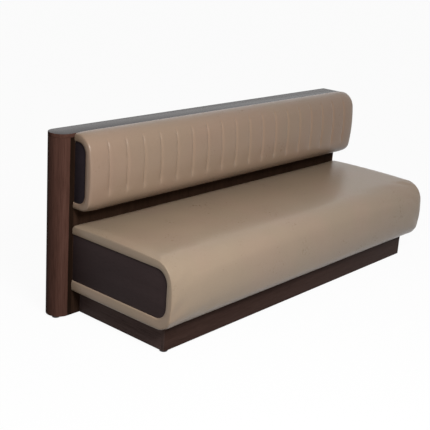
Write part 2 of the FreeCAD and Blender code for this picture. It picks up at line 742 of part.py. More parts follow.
def channel_grooves():
    """One groove of even depth for each stitched line between two channels."""
    channels = count("channel_count")
    width = size("channel_groove_width")
    low = size("backrest_underside") + size("channel_bottom_margin")
    high = size("backrest_top") - size("channel_top_margin")
    front = size("panel_front") - size("backrest_depth") - size("overrun")
    strip = Part.makeBox(width, size("backrest_depth"), high - low, FreeCAD.Vector(0, front, low))
    outline = padded_outline("backrest", -size("overrun"), size("channel_groove_depth"))
    core = Part.Face(outline).extrude(FreeCAD.Vector(width + 2 * size("overrun"), 0, 0))
    groove = strip.cut(core)
    pitch = size("seat_length") / channels
    grooves = []
    for number in range(1, channels):
        copy = groove.copy()
        copy.translate(FreeCAD.Vector(size("seat_left") + pitch * number - width / 2, 0, 0))
        grooves.append(copy)
    return Part.makeCompound(grooves)


def check_document():
    """Stop before anything is written if a feature failed or a sub-part is not a sound solid."""
    for thing in doc.Objects:
        if "Invalid" in thing.State or "Error" in thing.State:
            raise RuntimeError(f"{thing.Label} failed: {thing.State}")
    for thing in sub_parts:
        if thing.Shape.isNull() or not thing.Shape.isValid() or not thing.Shape.Solids:
            raise RuntimeError(f"{thing.Label} is not a sound solid")


def write_parts():
    """Write each sub-part to its own file."""
    os.makedirs("parts", exist_ok=True)
    for thing in sub_parts:
        thing.Shape.exportStep(f"parts/{thing.Label}.step")
        box = thing.Shape.BoundBox
        spans = ((box.XMin, box.XMax), (box.YMin, box.YMax), (box.ZMin, box.ZMax))
        print(f"{thing.Label}: {len(thing.Shape.Solids)} solids, {thing.Shape.Volume:.0f} mm3, within",
              " ".join(f"{low:.1f}..{high:.1f}" for low, high in spans))
    print(len(sub_parts), "sub-parts")


fill_sheet()
build_back_panel()
build_seat()
build_backrest()
build_plinth()
build_bolts()
build_feet()
build_cushions()
doc.recompute()
check_document()
write_parts()
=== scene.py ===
"""Dresses the frame of an upholstered restaurant banquette and sets up its studio."""

import json
import logging
import math
from contextlib import contextmanager
from dataclasses import dataclass, field
from enum import Enum
from typing import Any, Callable, Iterator, Sequence, Union

import bmesh
import bpy
from mathutils import Matrix, Vector
from mathutils.bvhtree import BVHTree


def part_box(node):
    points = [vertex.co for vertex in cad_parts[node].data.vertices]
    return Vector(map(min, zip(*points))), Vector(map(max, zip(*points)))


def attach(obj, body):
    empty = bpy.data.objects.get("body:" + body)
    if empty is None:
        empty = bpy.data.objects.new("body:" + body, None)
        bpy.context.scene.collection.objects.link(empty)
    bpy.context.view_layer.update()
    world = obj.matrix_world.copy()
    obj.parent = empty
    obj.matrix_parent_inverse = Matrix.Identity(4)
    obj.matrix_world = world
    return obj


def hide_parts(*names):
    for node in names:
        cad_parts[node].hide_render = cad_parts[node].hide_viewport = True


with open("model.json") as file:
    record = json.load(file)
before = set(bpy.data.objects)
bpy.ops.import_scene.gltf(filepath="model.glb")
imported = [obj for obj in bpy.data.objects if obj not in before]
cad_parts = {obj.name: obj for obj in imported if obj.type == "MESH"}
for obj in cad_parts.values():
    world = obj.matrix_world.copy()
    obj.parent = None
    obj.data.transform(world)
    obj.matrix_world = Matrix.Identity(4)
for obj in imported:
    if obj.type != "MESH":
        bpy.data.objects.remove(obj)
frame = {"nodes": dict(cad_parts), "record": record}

LOG = logging.getLogger("banquette")

Colour = tuple[float, float, float]
Point = tuple[float, float]
Node = bpy.types.Node
Socket = bpy.types.NodeSocket
Piece = bpy.types.Object
Finish = bpy.types.Material


# Shader helpers


class Level:
    """A number in a finish's node tree that takes part in plain arithmetic."""

    def __init__(self, tree: "FinishTree", socket: Socket) -> None:
        """Wraps one output socket of a tree."""
        self.tree = tree
        self.socket = socket

    def _math(self, operation: str, *values: "Number") -> "Level":
        """Adds one Math node.

        Args:
            operation: The Math node's operation.
            values: Its inputs, in order.

        Returns:
            The node's result.
        """
        node = self.tree.node("ShaderNodeMath", {"operation": operation})
        for socket, value in zip(node.inputs, values):
            self.tree.feed(socket, value)
        return Level(self.tree, node.outputs[0])

    def __add__(self, other: "Number") -> "Level":
        """Sum with a level or a number."""
        return self._math("ADD", self, other)

    def __radd__(self, other: "Number") -> "Level":
        """Sum with a number on the left."""
        return self._math("ADD", other, self)

    def __sub__(self, other: "Number") -> "Level":
        """Difference from a level or a number."""
        return self._math("SUBTRACT", self, other)

    def __rsub__(self, other: "Number") -> "Level":
        """Difference with a number on the left."""
        return self._math("SUBTRACT", other, self)

    def __mul__(self, other: "Number") -> "Level":
        """Product with a level or a number."""
        return self._math("MULTIPLY", self, other)

    def __rmul__(self, other: "Number") -> "Level":
        """Product with a number on the left."""
        return self._math("MULTIPLY", other, self)

    def __abs__(self) -> "Level":
        """The level without its sign."""
        return self._math("ABSOLUTE", self)

    def largest(self, other: "Number") -> "Level":
        """The larger of the level and another."""
        return self._math("MAXIMUM", self, other)

    def sine(self) -> "Level":
        """The sine of the level, in radians."""
        return self._math("SINE", self)

    def above(self, edge: float, soft: float) -> "Level":
        """A mask that rises smoothly as the level passes an edge.

        Args:
            edge: The level at the middle of the rise.
            soft: Half the width of the rise.

        Returns:
            0 below the edge and 1 above it.
        """
        inputs = {"Value": self, "From Min": edge - soft, "From Max": edge + soft}
        node = self.tree.node("ShaderNodeMapRange", {"interpolation_type": "SMOOTHSTEP"}, inputs)
        return Level(self.tree, node.outputs["Result"])


Number = Union[Level, float]


class FinishTree:
    """The node tree of one finish, read in the object's own coordinates, or of the surroundings."""

    def __init__(self, name: str, owner: bpy.types.World | None = None) -> None:
        """Empties a new material, or the surroundings given, and adds the coordinate source.

        Args:
            name: The material's name.
            owner: The surroundings, if the tree is theirs.
        """
        self.owner = owner or bpy.data.materials.new(name)
        self.owner.use_nodes = True
        self.owner.node_tree.nodes.clear()
        self.coordinates = self.node("ShaderNodeTexCoord")
        self.place: Socket = self.coordinates.outputs["Object"]

    def node(self, kind: str, settings: dict[str, Any] | None = None, inputs: dict[str, Any] | None = None) -> Node:
        """Adds one node.

        Args:
            kind: The node's type.
            settings: Its properties, set first. The key "stops" fills a colour ramp.
            inputs: Values or links for its sockets, by identifier or name.

        Returns:
            The new node.
        """
        node = self.owner.node_tree.nodes.new(kind)
        for key, value in (settings or {}).items():
            if key == "stops":
                self._fill_ramp(node, value)
            else:
                setattr(node, key, value)
        for key, value in (inputs or {}).items():
            named = [s for s in node.inputs if key in (s.identifier, s.name)]
            self.feed(named[0], value)
        return node

    def _fill_ramp(self, node: Node, stops: Sequence[tuple[float, Colour]]) -> None:
        """Gives a colour ramp its stops.

        Args:
            node: The ramp.
            stops: Places from 0 to 1 and their colours.
        """
        ramp = node.color_ramp
        while len(ramp.elements) < len(stops):
            ramp.elements.new(1.0)
        for element, (place, colour) in zip(ramp.elements, stops):
            element.position = place
            element.color = (*colour, 1.0)

    def feed(self, socket: Socket, value: Any) -> None:
        """Links or sets one input socket.

        Args:
            socket: The input.
            value: A level, a socket, a number or a colour.
        """
        if isinstance(value, Level):
            value = value.socket
        if isinstance(value, bpy.types.NodeSocket):
            self.owner.node_tree.links.new(value, socket)
        elif socket.type == "RGBA" and len(value) == 3:
            socket.default_value = (*value, 1.0)
        else:
            socket.default_value = value

    def stretched(self, stretch: Sequence[float]) -> Socket:
        """The object's coordinates, scaled along each axis."""
        return self.node("ShaderNodeMapping", None, {"Vector": self.place, "Scale": tuple(stretch)}).outputs[0]

    def part(self, vector: Socket, axis: int) -> Level:
        """One part of a vector."""
        return Level(self, self.node("ShaderNodeSeparateXYZ", None, {"Vector": vector}).outputs[axis])

    def along(self, axis: int) -> Level:
        """One coordinate of the object, in metres."""
        return self.part(self.place, axis)

    def facing(self, axis: int) -> Level:
        """One part of the surface's direction."""
        return self.part(self.node("ShaderNodeNewGeometry").outputs["Normal"], axis)

    def seen_by(self, *rays: str) -> Level:
        """A mask of the named kinds of light ray.

        Args:
            rays: The kinds, as the Light Path node names them.

        Returns:
            1 for those rays and 0 for the others.
        """
        path = self.node("ShaderNodeLightPath")
        mask = Level(self, path.outputs[f"Is {rays[0]} Ray"])
        for ray in rays[1:]:
            mask = mask.largest(Level(self, path.outputs[f"Is {ray} Ray"]))
        return mask

    def clouds(
        self, scale: float, detail: float = 2.0, stretch: Sequence[float] = (1, 1, 1), twist: float = 0.0
    ) -> Level:
        """Soft random variation.

        Args:
            scale: Patches per metre.
            detail: How many finer octaves are added.
            stretch: Scale of each axis.
            twist: How far the pattern is distorted.

        Returns:
            A level round 0.5.
        """
        inputs = {"Vector": self.stretched(stretch), "Scale": scale, "Detail": detail, "Distortion": twist}
        return Level(self, self.node("ShaderNodeTexNoise", None, inputs).outputs["Fac"])

    def cells(self, scale: float, feature: str = "F1", stretch: Sequence[float] = (1, 1, 1)) -> Level:
        """Distance within packed cells.

        Args:
            scale: Cells per metre.
            feature: Which distance the cells give.
            stretch: Scale of each axis.

        Returns:
            The distance, in cells.
        """
        inputs = {"Vector": self.stretched(stretch), "Scale": scale}
        return Level(self, self.node("ShaderNodeTexVoronoi", {"feature": feature}, inputs).outputs["Distance"])

    def mark(self, name: str) -> Level:
        """A number painted on the piece's points."""
        return Level(self, self.node("ShaderNodeAttribute", {"attribute_name": name}).outputs["Fac"])

    def blend(self, first: Any, second: Any, share: Number) -> Socket:
        """Mixes two colours.

        Args:
            first: The colour at share 0.
            second: The colour at share 1.
            share: How much of the second.

        Returns:
            The mixed colour.
        """
        inputs = {"Factor_Float": share, "A_Color": first, "B_Color": second}
        return self.node("ShaderNodeMix", {"data_type": "RGBA"}, inputs).outputs[2]

    def shade(self, colour: Any, level: Number) -> Socket:
        """Darkens or lightens a colour by a level."""
        return self.node("ShaderNodeVectorMath", {"operation": "SCALE"}, {"Vector": colour, "Scale": level}).outputs[0]

    def ramp(self, level: Level, stops: Sequence[tuple[float, Colour]]) -> Socket:
        """Turns a level into colours between stops."""
        return self.node("ShaderNodeValToRGB", {"stops": stops}, {"Fac": level}).outputs[0]

    def surface(self, colour: Any, roughness: Number, relief: Level | None = None, **fixed: Any) -> Finish:
        """Closes the tree with its shader.

        Args:
            colour: Base colour.
            roughness: Roughness.
            relief: Height of the fine relief, in metres.
            fixed: Other shader sockets, by name with _ for a space, at one value all over.

        Returns:
            The material.
        """
        inputs = {"Base Color": colour, "Roughness": roughness}
        inputs.update({key.replace("_", " "): value for key, value in fixed.items()})
        shader = self.node("ShaderNodeBsdfPrincipled", None, inputs)
        if relief is not None:
            bump = self.node("ShaderNodeBump", None, {"Height": relief, "Distance": 1.0, "Strength": 1.0})
            self.feed(shader.inputs["Normal"], bump.outputs[0])
        self.close(shader)
        return self.owner

    def mix(self, first: Node, second: Node, share: Level) -> Node:
        """Mixes two shaders by a share of the second."""
        inputs = {"Fac": share, "Shader": first.outputs[0], "Shader_001": second.outputs[0]}
        return self.node("ShaderNodeMixShader", None, inputs)

    def close(self, shader: Node, output: str = "ShaderNodeOutputMaterial") -> None:
        """Feeds a shader to the tree's output."""
        self.node(output, None, {"Surface": shader.outputs[0]})


# Finishes


class GrainRun(Enum):
    """Which way the grain of a board runs, as the scale of each axis across and along it."""

    LENGTHWISE = (0.045, 1.0, 1.0)
    CROSSWISE = (1.0, 0.045, 1.0)
    UPRIGHT = (1.0, 1.0, 0.045)

    @classmethod
    def of_box(cls, low: Vector, high: Vector) -> "GrainRun":
        """The run along a board's longest side."""
        size = high - low
        return list(cls)[max(range(3), key=lambda axis: size[axis])]


class Stain(Enum):
    """A stain of the walnut, as its dark, middle and light colours; the last two are copies of a stain, one drawn
    lighter as painted light and one darker as painted shade.
    """

    WALNUT = ((0.033, 0.0158, 0.0112), (0.080, 0.0370, 0.0275), (0.126, 0.062, 0.047))
    SMOKED = ((0.030, 0.0155, 0.0120), (0.053, 0.0295, 0.0235), (0.078, 0.045, 0.037))
    # Painted light: a lighter copy of the smoked stain for the plinth's end boards.
    SMOKED_END = ((0.052, 0.0300, 0.0250), (0.094, 0.0620, 0.0560), (0.136, 0.093, 0.084))
    # Painted shade: a darker copy of the walnut for the front skin, which shows only in shadowed gaps.
    INNER = ((0.016, 0.0080, 0.0045), (0.031, 0.0165, 0.0105), (0.047, 0.0250, 0.0160))


@dataclass(frozen=True)
class CoverVinyl:
    """Satin coated upholstery vinyl with a fine leather grain."""

    name: str
    colour: Colour = (0.352, 0.264, 0.186)
    warmer: Colour = (0.370, 0.260, 0.190)  # in soft patches
    grain_pitch: float = 0.0013
    grain_depth: float = 0.00005
    unevenness: float = 0.00025
    pucker_depth: float = 0.00012  # along the seams
    roughness: float = 0.22  # of its smoothest places
    specular: float = 0.3
    # Painted shade: how much darker the seams' grooves are drawn.
    seam_painted_shade: float = 0.04
    painted_under_shade: float = 0.2  # painted shade: how much darker the undersides are drawn

    def material(self) -> Finish:
        """The vinyl's material, with painted shade in the seams and on the undersides.

        Returns:
            The material.
        """
        tree = FinishTree(self.name)
        seam = tree.mark("seam")
        patches = tree.clouds(7.0, 3.0)
        fine = tree.clouds(90.0, 4.0)
        # Painted shade: faces turned downwards are drawn darker, as if shaded from above.
        under = (0.0 - tree.facing(2)).above(0.35, 0.4)
        # Painted shade: the seams' grooves are drawn darker.
        tone = (0.93 + 0.1 * patches + 0.05 * fine) * (1.0 - self.seam_painted_shade * seam)
        tone = tone * (1.0 - self.painted_under_shade * under)
        warm = tree.blend(self.colour, self.warmer, tree.clouds(4.0, 1.0).above(0.52, 0.16) * 0.5)
        colour = tree.shade(warm, tone)
        pebbles = tree.cells(1.0 / self.grain_pitch, "DISTANCE_TO_EDGE").above(0.09, 0.09)
        pores = tree.clouds(1.0 / self.grain_pitch * 1.7, 2.0)
        puckers = (tree.along(2) * 520.0 + tree.clouds(60.0) * 9.0).sine() * seam
        relief = self.grain_depth * (pebbles + 0.5 * pores) + self.unevenness * tree.clouds(38.0, 3.0)
        relief = relief + self.pucker_depth * puckers
        roughness = self.roughness + 0.09 * fine + 0.06 * patches + 0.12 * seam
        return tree.surface(colour, roughness, relief, Specular_IOR_Level=self.specular)


@dataclass(frozen=True)
class SeamThread:
    """Twisted polyester thread in the cover's colour."""

    colour: Colour = (0.40, 0.30, 0.225)

    def material(self) -> Finish:
        """The thread's material, with the twist of its plies.

        Returns:
            The material.
        """
        tree = FinishTree("seam_thread")
        twist = (tree.along(2) * 5200.0 + tree.along(0) * 5200.0).sine()
        colour = tree.shade(self.colour, 0.92 + 0.1 * twist)
        return tree.surface(colour, 0.5 + 0.1 * tree.clouds(300.0), 0.00006 * twist)


@dataclass(frozen=True)
class Veneer:
    """Satin lacquered walnut veneer."""

    name: str
    run: GrainRun
    stain: Stain
    roughness: float = 0.38
    coat: float = 0.04
    specular: float = 0.0
    figure: float = 0.45  # how strongly the stripes show
    lit_end_colour: Colour | None = None  # painted light: lighter colour of the faces across the bench, if any
    painted_shade_edge: float = 0.0  # X left of which the board is drawn darker as painted shade, if any
    top_gloss: float = 0.0  # clear coat on upward faces only, if any
    top_colour: Colour = (0.030, 0.030, 0.034)  # under that coat

    def material(self) -> Finish:
        """The veneer's material, with stripes, fine grain and open pores.

        Returns:
            The material.
        """
        tree = FinishTree(self.name)
        run = self.run.value
        wander = tree.clouds(2.2, 2.0, [1.0 - 0.6 * (r < 1.0) for r in run])
        stripes = tree.clouds(34.0, 3.0, run, 0.6)
        fine = tree.clouds(260.0, 3.0, run, 0.2)
        hair = tree.clouds(900.0, 2.0, [r if r == 1.0 else 0.02 for r in run])
        level = 0.5 + (stripes - 0.5) * 1.25 * self.figure + (fine - 0.5) * 0.5 + (wander - 0.5) * 0.45
        colour = tree.ramp(level, list(zip((0.18, 0.5, 0.82), self.stain.value)))
        pore = hair.above(0.64, 0.05) * tree.clouds(120.0, 1.0, run).above(0.5, 0.12)
        colour = tree.shade(colour, 1.0 - 0.45 * pore)
        # Painted light: faces across the bench are drawn lighter.
        if self.lit_end_colour:
            colour = tree.blend(colour, self.lit_end_colour, abs(tree.facing(0)).above(0.7, 0.2))
        # Painted shade: the board is drawn half as bright left of an X, as if shadowed beside the post.
        if self.painted_shade_edge:
            colour = tree.shade(colour, 0.5 + 0.5 * tree.along(0).above(self.painted_shade_edge, 0.004))
        coat: Number = self.coat
        if self.top_gloss:
            top = tree.facing(2).above(0.7, 0.2)
            colour = tree.blend(colour, self.top_colour, top * 0.8)
            coat = top * self.top_gloss
        return tree.surface(
            colour,
            self.roughness + 0.08 * (fine - 0.5) + 0.1 * pore,
            0.00002 * fine - 0.00004 * pore,
            Specular_IOR_Level=self.specular,
            Coat_Weight=coat,
            Coat_Roughness=0.22,
        )


@dataclass(frozen=True)
class PanelLaminate:
    """Very dark brown facing with a shallow pressed grain."""

    name: str
    colour: Colour = (0.041, 0.0275, 0.0275)

    def material(self) -> Finish:
        """The facing's material.

        Returns:
            The material.
        """
        tree = FinishTree(self.name)
        run = (1.0, 0.05, 1.0)
        grain = tree.clouds(330.0, 3.0, run)
        broad = tree.clouds(22.0, 2.0, run, 0.3)
        ticks = tree.clouds(1100.0, 1.0, (1.0, 0.03, 1.0)).above(0.63, 0.05)
        colour = tree.shade(self.colour, 0.72 + 0.3 * grain + 0.3 * broad - 0.25 * ticks)
        return tree.surface(colour, 0.46 + 0.1 * grain, 0.00002 * grain - 0.00004 * ticks, Specular_IOR_Level=0.05)


@dataclass(frozen=True)
class BirchPly:
    """Bare birch plywood, with its plies on the edges."""

    thin_axis: int
    ply: float = 0.0015

    def material(self) -> Finish:
        """The plywood's material for boards whose thickness lies along one axis.

        Returns:
            The material.
        """
        tree = FinishTree(f"birch_ply_{'xyz'[self.thin_axis]}")
        run = [1.0, 1.0, 1.0]
        run[0 if self.thin_axis else 1] = 0.06
        grain = tree.clouds(160.0, 3.0, run, 0.4)
        broad = tree.clouds(14.0, 2.0, run, 0.5)
        face = tree.ramp(
            0.5 * grain + 0.5 * broad,
            [(0.3, (0.46, 0.31, 0.18)), (0.52, (0.62, 0.45, 0.28)), (0.72, (0.70, 0.54, 0.36))],
        )
        layers = (tree.along(self.thin_axis) * (math.pi / self.ply)).sine().above(0.0, 0.35)
        edge = tree.blend((0.27, 0.16, 0.085), (0.60, 0.44, 0.27), layers)
        edge = tree.shade(edge, 0.82 + 0.36 * tree.clouds(420.0, 2.0))
        on_edge = 1.0 - abs(tree.facing(self.thin_axis)).above(0.6, 0.1)
        colour = tree.blend(face, edge, on_edge)
        return tree.surface(colour, 0.62 + 0.12 * grain, 0.00005 * grain)


@dataclass(frozen=True)
class PlanedPine:
    """Bare planed softwood with growth rings and knots."""

    run: GrainRun

    def material(self) -> Finish:
        """The softwood's material.

        Returns:
            The material.
        """
        tree = FinishTree(f"planed_pine_{self.run.name.lower()}")
        run = self.run.value
        rings = (tree.clouds(9.0, 1.5, run, 0.8) * 95.0).sine()
        fine = tree.clouds(420.0, 2.0, run)
        knots = 1.0 - tree.cells(3.1, "F1", [1.0 if r == 1.0 else 0.5 for r in run]).above(0.075, 0.03)
        wood = tree.blend((0.66, 0.47, 0.27), (0.50, 0.31, 0.15), rings.above(0.55, 0.4) * 0.75)
        wood = tree.blend(wood, (0.17, 0.085, 0.04), knots * 0.85)
        colour = tree.shade(wood, 0.86 + 0.26 * fine)
        return tree.surface(colour, 0.55 + 0.15 * fine, 0.00004 * fine)


@dataclass(frozen=True)
class ZincPlate:
    """Bright zinc plated steel."""

    colour: Colour = (0.62, 0.63, 0.65)

    def material(self) -> Finish:
        """The plating's material, slightly clouded.

        Returns:
            The material.
        """
        tree = FinishTree("zinc_plate")
        cloud = tree.clouds(260.0, 3.0)
        scratch = tree.clouds(1400.0, 2.0, (1.0, 1.0, 0.08))
        colour = tree.shade(self.colour, 0.84 + 0.3 * cloud)
        return tree.surface(colour, 0.24 + 0.22 * cloud + 0.06 * scratch, 0.000008 * scratch, Metallic=1.0)


@dataclass(frozen=True)
class MouldedNylon:
    """Matt black moulded nylon."""

    colour: Colour = (0.014, 0.0138, 0.0142)

    def material(self) -> Finish:
        """The nylon's material, scuffed near the floor.

        Returns:
            The material.
        """
        tree = FinishTree("moulded_nylon")
        spark = tree.clouds(2200.0, 2.0)
        scuff = (1.0 - tree.along(2).above(0.0022, 0.0018)) * tree.clouds(240.0, 3.0).above(0.52, 0.1)
        colour = tree.blend(self.colour, (0.06, 0.058, 0.056), scuff * 0.7)
        return tree.surface(colour, 0.42 + 0.14 * spark + 0.15 * scuff, 0.00002 * spark)


class Wardrobe:
    """Every finish of the banquette, each made once."""

    def __init__(self) -> None:
        """Makes the materials."""
        matt = {"roughness": 0.50, "specular": 0.02, "coat": 0.0, "figure": 0.35}
        shaded_back_colours = ((0.302, 0.213, 0.149), (0.317, 0.210, 0.152))
        # Painted light: the plinth's end faces are drawn lighter than its front.
        plinth_end = (0.088, 0.057, 0.050)
        styles = {
            "vinyl": CoverVinyl("cover_vinyl"),
            # Painted shade: the backrest's vinyl takes darker copies of the seat's colours and darker undersides.
            "back_vinyl": CoverVinyl("backrest_shaded_vinyl", *shaded_back_colours, painted_under_shade=0.42),
            "thread": SeamThread(),
            "walnut_veneer": Veneer("upright_walnut", GrainRun.UPRIGHT, Stain.WALNUT),
            "plinth": Veneer("plinth_walnut", GrainRun.LENGTHWISE, Stain.SMOKED, lit_end_colour=plinth_end, **matt),
            "plinth_end": Veneer("plinth_end_walnut", GrainRun.CROSSWISE, Stain.SMOKED_END, **matt),
            # Painted shade: the front skin's walnut is a darker copy, halved again left of the cushions.
            "inner": Veneer("shaded_inner_walnut", GrainRun.UPRIGHT, Stain.INNER, roughness=0.5, coat=0.02, painted_shade_edge=-0.984),
            "dark_lacquer": Veneer("cap_lacquer", GrainRun.LENGTHWISE, Stain.WALNUT, roughness=0.3, top_gloss=0.56),
            "dark_laminate": PanelLaminate("panel_laminate"),
            # Painted shade: the backrest's end panels take a darker copy of the same laminate.
            "back_laminate": PanelLaminate("backrest_shaded_laminate", (0.027, 0.0205, 0.0245)),
            "zinc_steel": ZincPlate(),
            "black_plastic": MouldedNylon(),
        }
        self.made: dict[str, Finish] = {name: style.material() for name, style in styles.items()}
        self.plywood = [BirchPly(axis).material() for axis in range(3)]
        self.pine = {run: PlanedPine(run).material() for run in GrainRun}

    def for_node(self, node: str, slot: str) -> Finish:
        """The finish of one carried-over part.

        Args:
            node: The part's name.
            slot: Its material slot in the record.

        Returns:
            The material.
        """
        low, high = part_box(node)
        size = high - low
        if slot == "plywood":
            return self.plywood[min(range(3), key=lambda axis: size[axis])]
        if slot == "softwood":
            return self.pine[GrainRun.of_box(low, high)]
        # Painted shade: the front skin takes the darker copy of the walnut.
        if node == "back_front_skin":
            return self.made["inner"]
        # Painted light: the plinth's end boards take the lighter copy of its walnut.
        if slot == "dark_walnut":
            return self.made["plinth" if size.x > size.y else "plinth_end"]
        return self.made[slot]


# Modelling helpers


class Part(Enum):
    """What a selection picks."""

    POINTS = "VERT"
    EDGES = "EDGE"
    FACES = "FACE"

    def of(self, shape: bmesh.types.BMesh) -> Any:
        """The elements of this kind in a mesh."""
        return {"VERT": shape.verts, "EDGE": shape.edges, "FACE": shape.faces}[self.value]


def pick_only(*pieces: Piece) -> None:
    """Selects the pieces given and nothing else."""
    bpy.ops.object.select_all(action="DESELECT")
    for piece in pieces:
        piece.select_set(True)
    bpy.context.view_layer.objects.active = pieces[0]


@contextmanager
def shaping(piece: Piece) -> Iterator[None]:
    """Opens one piece, alone, in edit mode.

    Args:
        piece: The piece.
    """
    pick_only(piece)
    bpy.ops.object.mode_set(mode="EDIT")
    yield
    bpy.ops.object.mode_set(mode="OBJECT")


def choose(piece: Piece, part: Part, test: Callable[[Any], bool]) -> int:
    """Selects elements of the piece in edit mode by a test.

    Args:
        piece: The piece in edit mode.
        part: Points, edges or faces.
        test: Says of an element whether it is picked.

    Returns:
        How many were picked.
    """
    bpy.ops.mesh.select_mode(type=part.value)
    bpy.ops.mesh.select_all(action="DESELECT")
    shape = bmesh.from_edit_mesh(piece.data)
    picked = [element for element in part.of(shape) if test(element)]
    for element in picked:
        element.select_set(True)
    shape.select_flush_mode()
    bmesh.update_edit_mesh(piece.data)
    return len(picked)


def extrude(x: float, y: float, z: float) -> None:
    """Extrudes what is selected in edit mode by a move."""
    bpy.ops.mesh.extrude_region_move(TRANSFORM_OT_translate={"value": (x, y, z)})


def face_outwards() -> None:
    """Turns the faces of the piece in edit mode outwards."""
    bpy.ops.mesh.select_all(action="SELECT")
    bpy.ops.mesh.normals_make_consistent(inside=False)


def add_new(name: str, add: Callable[..., Any], **settings: Any) -> Piece:
    """Adds a primitive with nothing else selected.

    Args:
        name: The piece's name.
        add: The operator that adds it.
        settings: The operator's settings.

    Returns:
        The piece, with its place moved into its mesh.
    """
    bpy.ops.object.select_all(action="DESELECT")
    add(**settings)
    piece = bpy.context.view_layer.objects.active
    piece.name = piece.data.name = name
    bpy.ops.object.transform_apply(location=True, rotation=True, scale=True)
    return piece


def add_block(name: str, low: Vector, high: Vector) -> Piece:
    """Adds a rectangular block at its size and place."""
    return add_new(name, bpy.ops.mesh.primitive_cube_add, size=1.0, location=(low + high) / 2, scale=high - low)


def add_round(name: str, centre: Vector, radius: float, height: float, sides: int) -> Piece:
    """Adds an upright cylinder at its size and place."""
    add = bpy.ops.mesh.primitive_cylinder_add
    return add_new(name, add, vertices=sides, radius=radius, depth=height, location=centre)


def add_outline(name: str, places: Sequence[Vector]) -> Piece:
    """Adds a flat face with its corners at the places given.

    Args:
        name: The piece's name.
        places: The corners, in order.

    Returns:
        The face, selected all over.
    """
    add = bpy.ops.mesh.primitive_circle_add
    piece = add_new(name, add, vertices=len(places), radius=1.0, fill_type="NGON")
    for point, place in zip(piece.data.vertices, places):
        point.co = place
    return piece


def ease_edges(piece: Piece, width: float, segments: int = 2, angle: float = 0.6) -> None:
    """Rounds the sharp edges of a board.

    Args:
        piece: The board.
        width: How far the rounding reaches.
        segments: Faces across it.
        angle: Edges sharper than this are rounded.
    """
    with shaping(piece):
        choose(piece, Part.EDGES, lambda e: e.calc_face_angle(0.0) > angle)
        bpy.ops.mesh.bevel(offset=width, segments=segments, profile=0.5, affect="EDGES")
        face_outwards()
    smooth(piece)


def smooth(piece: Piece, degrees: float = 35.0) -> None:
    """Shades a piece smooth but for edges sharper than an angle.

    Args:
        piece: The piece.
        degrees: The angle.
    """
    pick_only(piece)
    bpy.ops.object.shade_smooth_by_angle(angle=math.radians(degrees))


def apply_modifier(piece: Piece, kind: str, **settings: Any) -> None:
    """Adds a modifier with its settings and applies it.

    Args:
        piece: The piece.
        kind: The modifier's type.
        settings: Its properties.
    """
    modifier = piece.modifiers.new(kind.lower(), kind)
    for key, value in settings.items():
        setattr(modifier, key, value)
    pick_only(piece)
    bpy.ops.object.modifier_apply(modifier=modifier.name)


def finish_piece(piece: Piece, material: Finish, slot: str, *nodes: str) -> Piece:
    """Dresses a piece, hangs it on the bench and reports it.

    Args:
        piece: The finished mesh.
        material: Its finish.
        slot: The record's material slot; not used.
        nodes: The parts of the frame that it stands for.

    Returns:
        The piece.
    """
    piece.data.materials.clear()
    piece.data.materials.append(material)
    if nodes:
        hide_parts(*nodes)
    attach(piece, "bench")
    LOG.info("%s: %d faces", piece.name, len(piece.data.polygons))
    return piece


def between(first: float, second: float, share: float) -> float:
    """The number a share of the way from the first to the second."""
    return first + (second - first) * share


# Cushions


@dataclass(frozen=True)
class Outline:
    """A cushion's side outline, forward of the back panel's face and up from the floor."""

    top: float
    underside: float
    depth: float
    crown: float
    bulge: float
    top_radius: float
    bottom_radius: float
    rear_radius: float
    snug: float = 0.0015

    def inside(self, inner: "Outline", share: float) -> "Outline":
        """The outline a share of the way to an inner one."""
        pairs = zip(self.__dict__.values(), inner.__dict__.values())
        return Outline(*(between(a, b, share) for a, b in pairs))

    def points(self, counts: Sequence[int]) -> list[Point]:
        """Walks round the outline.

        Args:
            counts: Steps along the rear corner, top, top corner, front, bottom corner, underside and rear.

        Returns:
            The points, from the rear face's top forward and down, as forward and height.
        """
        lean = 2 * math.atan(2 * self.crown / (self.depth - self.top_radius))
        bow = 2 * math.atan(2 * self.bulge / (self.top - self.underside - self.top_radius - self.bottom_radius))
        high = self.top - self.top_radius * math.cos(lean)
        low = self.underside + self.bottom_radius
        front_top = high + self.top_radius * math.sin(bow)
        front_low = low - self.bottom_radius * math.sin(bow)
        face = self.depth - (front_top - front_low) / 2 * math.tan(bow / 2)
        corner = face - self.top_radius * math.cos(bow)
        heel = face - self.bottom_radius * math.cos(bow)
        crest = corner + self.top_radius * math.sin(lean)
        right = math.pi / 2
        rear = self.rear_radius
        walk: list[Point] = []
        walk += self._arc((rear, self.top - rear), rear, 2 * right, right, counts[0])
        walk += self._bowed((rear, self.top), (crest, self.top), lean, counts[1])
        walk += self._arc((corner, high), self.top_radius, right - lean, bow, counts[2])
        walk += self._bowed((face, front_top), (face, front_low), bow, counts[3])
        walk += self._arc((heel, low), self.bottom_radius, -bow, -right, counts[4])
        walk += self._bowed((heel, self.underside), (self.snug, self.underside), 0.0, counts[5])
        walk += [(self.snug, self.underside), (0.0, self.underside)]
        walk += self._bowed((0.0, self.underside + self.snug), (0.0, self.top - rear), 0.0, counts[6])
        return walk

    @staticmethod
    def _arc(centre: Point, radius: float, start: float, end: float, steps: int) -> list[Point]:
        """Points along an arc, without its last."""
        angles = [between(start, end, step / steps) for step in range(steps)]
        return [(centre[0] + radius * math.cos(a), centre[1] + radius * math.sin(a)) for a in angles]

    @staticmethod
    def _bowed(start: Point, end: Point, bow: float, steps: int) -> list[Point]:
        """Points from start to end with an even bow to the left of the way, without the last.

        Args:
            start: The first point.
            end: The last, left out.
            bow: How far the way turns in all, in radians.
            steps: Steps along it.

        Returns:
            The points.
        """
        run = (end[0] - start[0], end[1] - start[1])
        length = math.hypot(*run)
        out = (-run[1] / length, run[0] / length)
        rise = length / 2 * math.tan(bow / 2)
        points = []
        for step in range(steps):
            share = step / steps
            lift = rise * 4 * share * (1 - share)
            points.append((start[0] + run[0] * share + out[0] * lift, start[1] + run[1] * share + out[1] * lift))
        return points


